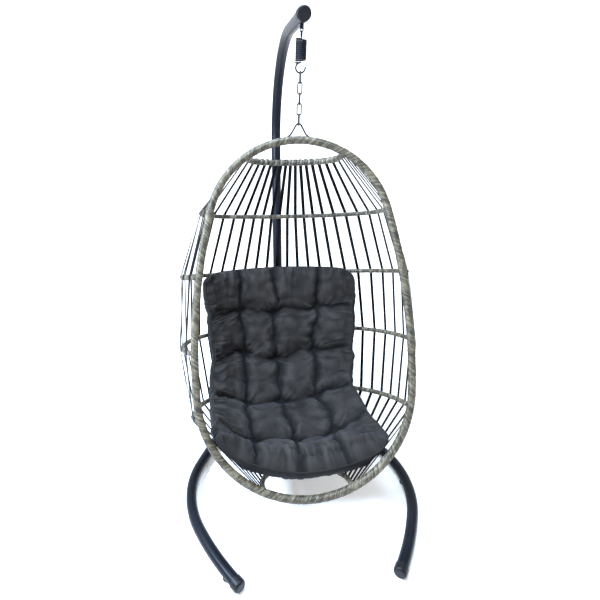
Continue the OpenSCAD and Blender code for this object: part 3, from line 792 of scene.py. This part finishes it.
def crease_fields(X, Y, tufts, length):
    """Nearness to the creases as a pillow shape between them, and the narrow valley along each."""
    away = np.full(X.shape, 9.0)
    for line in tufts:
        for tx, ty in line:
            away = np.minimum(away, np.hypot(X - tx, Y - ty))
    away = np.clip(away / 0.05, 0, 1)
    wander = [0.034 * noise_field(X, Y, 7.0, a) * away + 0.010 * noise_field(X, Y, 26.0, b) * away
              for a, b in ((3.1, 4.1), (8.7, 9.7))]
    Xw, Yw = X + wander[0], Y + wander[1]
    near = np.full(X.shape, 9.0)
    valley = np.zeros(X.shape)
    for p, q, strength, left in crease_lines(tufts, length):
        d, t = seg_distance(Xw, Yw, p, q)
        span = math.hypot(q[0] - p[0], q[1] - p[1])
        if left:
            along = strength * np.exp(-t * span / 0.10) + left * 0.35
        else:
            along = strength * (0.55 + 0.45 * np.cos(2 * math.pi * t))
        near = np.minimum(near, d / max(0.3, strength) + 0.010 * (1 - strength))
        valley = np.maximum(valley, along * np.exp(-(d / 0.0060) ** 1.10))
    return 1 - np.exp(-(near / 0.050) ** 1.15), valley


def tuft_fields(X, Y, tufts):
    """The pit at each tuft, and the folds that run out from it."""
    pit = np.zeros(X.shape)
    folds = np.zeros(X.shape)
    for k, (tx, ty) in enumerate(sum(tufts, []), 1):
        r = np.hypot(X - tx, Y - ty)
        pit = np.maximum(pit, np.exp(-(r / 0.021) ** 1.15))
        turn = np.arctan2(Y - ty, X - tx)
        wide = ridges(np.cos(turn), np.sin(turn) + r * 6, 2.6, 10.0 + k)
        fine = ridges(np.cos(turn), np.sin(turn) + r * 9, 5.5, 30.0 + k)
        folds += (0.024 * wide + 0.012 * fine - 0.007) * (np.exp(-r / 0.048) * (r / (r + 0.012)))
    return pit, folds


def edge_draw(X, Y, U, W, tufts):
    """How far the side edges move: in beside each tuft, out between them."""
    drawn = 0.30 * noise_field(Y * 0 + np.sign(X) * 3.0, Y, 21.0, 61.0)
    drawn = drawn + 0.16 * noise_field(Y * 0 + np.sign(X), Y, 60.0, 62.0)
    for line in tufts:
        for (_, ty), sign in ((line[0], -1), (line[-1], 1)):
            drawn = drawn - 0.45 * np.exp(-((Y - ty) / 0.030) ** 2) * (np.sign(X) == sign)
    return 0.020 * drawn * np.sign(X) * np.abs(U) ** 5 * np.clip(1 - np.abs(W) ** 12, 0, 1)


def side_gathers(X, Y, d_side, tufts):
    """Gathers that fan in from the side edges at each row of tufts."""
    total = np.zeros(X.shape)
    for line in tufts:
        for (_, ty), sign in ((line[0], -1), (line[-1], 1)):
            fan = (Y - ty) / (0.35 + np.clip(d_side, 0, 0.2) * -1.0)
            wide = ridges(fan + X * 0.25, X * 0.3 + sign, 20.0, 50.0 + ty * 40 + sign)
            fine = ridges(fan, X * 0.3 + sign, 44.0, 70.0 + ty * 40 + sign)
            here = np.exp(-((Y - ty) / 0.060) ** 2) * np.exp(-d_side / 0.085) * (np.sign(X) == sign)
            total += (0.030 * wide + 0.014 * fine - 0.008) * here
    return total


def top_gathers(X, Y, d_top):
    return (ridges(X, Y * 0.25, 24.0, 12.0) * 0.020 + ridges(X, Y * 0.3, 50.0, 13.0) * 0.010
            - 0.006) * np.exp(-d_top / 0.065)


def front_gathers(X, Y, d_front):
    middle = np.exp(-((X + 0.02) / 0.17) ** 4)
    both = ridges(X, Y * 0.2, 30.0, 14.0) ** 0.7 * 0.026 + ridges(X, Y * 0.3, 62.0, 15.0) ** 0.7 * 0.012
    return (both - 0.012) * (0.35 + 0.65 * middle) * np.exp(-np.abs(d_front - 0.040) / 0.050)


def keep_clear(world, bound):
    """Where a strap, a hoop or the ring is near, the bound points stay between it and the CAD cushion."""
    guide = surface_of("cushion")
    wraps = ["hoop_wrap_%d" % (h + 1) for h in range(len(HOOPS))]
    frame_near = surface_of("back_straps", "ring_wrap", *wraps)
    least, clearance = 0.004, 0.005
    for i in np.nonzero(bound)[0]:
        at = Vector(world[i])
        spot, out, _, gap = guide.find_nearest(at)
        if (at - spot).dot(out) > 0:
            room = max(least, frame_near.find_nearest(spot)[3] - clearance)
            if gap > room:
                world[i] = spot + (at - spot) * (room / gap)


def make_cushion():
    """Front and rear sheets on one grid, joined at the rim; X and Y are metres over the cloth."""
    across = ease_ends(np.linspace(-1, 1, COLS + 1), 8)
    U, W = np.meshgrid(across, ease_ends(np.linspace(-1, 1, ROWS + 1), 20))
    V = (W + 1) / 2
    mid, half_t = pad_middle(U, V)
    nrm = pad_normal(U, V)
    centre = slice(COLS // 2, COLS // 2 + 1)
    X = walked(mid, 1)
    X = X - X[:, centre]
    Y = np.broadcast_to(walked(mid, 0)[:, centre], X.shape)
    length = Y.max()
    d_side = np.abs(X).max(axis=1, keepdims=True) - np.abs(X)
    d_front = length - Y
    edge = np.sqrt(np.clip(1 - np.abs(U) ** 8, 0, 1)) * np.sqrt(np.clip(1 - np.abs(W) ** 24, 0, 1))
    full = half_t * edge * (1 - 0.42 * np.abs(U) ** 4)
    mask = np.clip(edge * 1.25 - 0.1, 0, 1)

    tufts = tuft_spots(U, V, X, Y)
    pillow, valley = crease_fields(X, Y, tufts, length)
    pit, folds = tuft_fields(X, Y, tufts)
    mid[..., 0] += edge_draw(X, Y, U, W, tufts)
    g_side = side_gathers(X, Y, d_side, tufts)
    rib = ridges(Y + 0.15 * X, X * 0.4 + 2.0 * np.sign(X), 34.0, 5.5) ** 0.7
    g_rim = (rib * 0.020 - 0.006) * np.exp(-d_side / 0.050)
    g_top = top_gathers(X, Y, Y)
    g_front = front_gathers(X, Y, d_front)
    slack = ridges(X * 0.6 + Y * 0.5, Y - X * 0.4, 13.0, 23.0)
    broad = 0.009 * noise_field(X, Y, 6.0, 21.0) + 0.012 * slack - 0.003
    broad = broad + 0.003 * noise_field(X, Y, 24.0, 22.0)
    relief = (0.032 * pillow - 0.019 - 0.010 * valley - 0.036 * pit + 1.5 * folds + 1.3 * g_side + 1.3 * g_rim
              + 1.3 * g_top + 1.2 * g_front + broad)
    face = full + mask * relief
    least = full * 0.18
    face = np.where(face < least, least + (face - least) * 0.15, face)
    under = 1 + 0.16 * np.exp(-((d_front - 0.06) / 0.07) ** 2)
    rear = full * (1 - 0.25 * pit) * under - mask * 0.004 * valley
    rear = rear + mask * (0.5 * (g_rim + broad) + 0.7 * g_front)
    front = mid + nrm * face[..., None]
    back = mid - nrm * np.maximum(rear, 0)[..., None]

    inner = np.zeros(X.shape, bool)
    inner[1:-1, 1:-1] = True
    index_f = np.arange(X.size).reshape(X.shape)
    index_b = index_f.copy()
    index_b[inner] = X.size + np.arange(inner.sum())
    x, n, s = np.concatenate([front.reshape(-1, 3), back[inner]], axis=0).T
    cosx, sinx = math.cos(TILT), math.sin(TILT)
    world = np.stack([x, n * cosx - s * sinx, RING_TOP_Z - s * cosx - n * sinx], axis=1)
    by_rim = (np.abs(U) > 0.80) | (V > 0.96) | (V < 0.02)
    keep_clear(world, np.concatenate([by_rim.ravel(), np.ones(int(inner.sum()), bool)]))

    f, g = index_f.tolist(), index_b.tolist()
    faces = []
    for i in range(ROWS):
        for j in range(COLS):
            faces.append((f[i][j], f[i + 1][j], f[i + 1][j + 1], f[i][j + 1]))
            faces.append((g[i][j], g[i][j + 1], g[i + 1][j + 1], g[i + 1][j]))
    obj = new_object("seat_cushion", world, faces)
    uv = obj.data.uv_layers.new(name="cloth")
    rear_uv = np.stack([X + 2.0, Y], axis=-1)[inner]
    flat_uv = np.concatenate([np.stack([X, Y], axis=-1).reshape(-1, 2), rear_uv], axis=0)
    loops = np.zeros(len(obj.data.loops), dtype=np.int32)
    obj.data.loops.foreach_get("vertex_index", loops)
    uv.data.foreach_set("uv", flat_uv[loops].astype(np.float32).ravel())
    # Painted shade and painted highlight from the relief: hollow and wide measure how far a point sits below
    # or above its surroundings.
    hollow = (soften(relief, 5) - relief) / 0.0060
    wide = (soften(relief, 14) - relief) / 0.018
    low = pit * 0.8 + valley * 0.35 + np.clip(hollow, 0, 1) ** 1.3 * 0.70 + np.clip(wide, 0, 1) * 0.10
    low = np.clip(low, 0, 1)
    # Painted highlight amount: how far a point stands above its surroundings.
    high = np.clip(np.clip(-hollow, 0, 1) * 0.50 + np.clip(-wide, 0, 1) * 0.35, 0, 1)
    # Painted shade: darker in the hollows of the front sheet, and darker all over the rear sheet.
    point_values(obj, "painted_crease_shade", np.concatenate([low.ravel(), 0.35 + 0.4 * low[inner]]))
    # Painted highlight on the crests of the front sheet; none on the rear sheet.
    point_values(obj, "painted_crest_highlight", np.concatenate([high.ravel(), np.zeros(int(inner.sum()))]))
    sub = obj.modifiers.new("smooth", "SUBSURF")
    sub.levels = 1
    sub.render_levels = 1
    paint(obj, CLOTH)
    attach(obj, "basket")
    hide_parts("cushion")

    rim = [*index_f[0], *index_f[1:, -1], *index_f[-1, -2::-1], *index_f[-2:0:-1, 0]]
    make_welt([Vector(world[k]) for k in rim])


def make_welt(line):
    """Piping round the pad's rim."""
    sides, step = 8, 0.006
    co, _ = resample(line[::2], step, True)
    welt = tube_mesh("cushion_welt", co, WELT_R, sides, True, co - co.mean(axis=0))
    welt_uv = welt.data.uv_layers.new(name="cloth")
    for loop in welt.data.loops:
        vi = loop.vertex_index
        welt_uv.data[loop.index].uv = (vi % sides * 0.002, vi // sides * step)
    paint(welt, CLOTH)
    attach(welt, "basket")


make_cushion()


# ---------------------------------------------------------------- floor, backdrop and light
def make_stage():
    """White floor that curves up into a white wall."""
    mat, nt, bsdf = material("studio_white")
    cloud = node(nt, "ShaderNodeTexNoise", Scale=3.0, Detail=2.0).outputs["Fac"]
    white = ramp(nt, cloud, [(0.3, (0.90, 0.90, 0.90)), (0.7, (0.93, 0.93, 0.93))])
    nt.links.new(white, bsdf.inputs["Base Color"])
    bsdf.inputs["Roughness"].default_value = 0.9
    bsdf.inputs["Specular IOR Level"].default_value = 0.1
    bsdf.inputs["Emission Color"].default_value = (1.0, 0.99, 0.97, 1)
    bsdf.inputs["Emission Strength"].default_value = 0.22
    half, front, back, rise, turn = 9.0, -9.0, 5.0, 7.0, 1.6
    below = 0.0005
    profile = [(front, 0.0), (back - turn, 0.0)]
    for a in [math.pi / 2 * k / 16 for k in range(1, 17)]:
        profile.append((back - turn + turn * math.sin(a), turn - turn * math.cos(a)))
    profile.append((back, rise))
    verts, faces = [], []
    for y, z in profile:
        verts += [(-half, y, z - below), (half, y, z - below)]
    for i in range(len(profile) - 1):
        faces.append((2 * i, 2 * i + 1, 2 * i + 3, 2 * i + 2))
    obj = new_object("studio_sweep", verts, faces)
    paint(obj, mat)


def area_light(name, at, aim, size, power, colour=(1, 1, 1)):
    data = bpy.data.lights.new(name, "AREA")
    data.shape = "RECTANGLE"
    data.size, data.size_y = size
    data.energy = power
    data.color = colour
    obj = bpy.data.objects.new(name, data)
    bpy.context.scene.collection.objects.link(obj)
    obj.location = at
    obj.rotation_euler = (Vector(aim) - Vector(at)).to_track_quat("-Z", "Y").to_euler()


def make_light():
    world = bpy.data.worlds.new("studio")
    bpy.context.scene.world = world
    world.use_nodes = True
    bg = world.node_tree.nodes["Background"]
    bg.inputs["Color"].default_value = (0.97, 0.98, 1.0, 1)
    bg.inputs["Strength"].default_value = 0.66
    cool = (0.62, 0.78, 1.0)
    area_light("key", (-2.6, -0.9, 2.6), (0, -0.1, 0.5), (0.9, 0.9), 300, cool)
    area_light("fill", (3.0, -2.4, 2.4), (0, 0, 0.8), (2.0, 2.4), 15)
    area_light("top", (-0.3, -0.45, 3.6), (0, -0.35, 0.45), (1.3, 1.3), 190, cool)
    area_light("backdrop", (0.0, 1.2, 3.6), (0, 5.0, 1.6), (5.0, 1.5), 120)
    bpy.context.scene.view_settings.view_transform = "Standard"
    bpy.context.scene.view_settings.look = "None"


make_stage()
make_light()
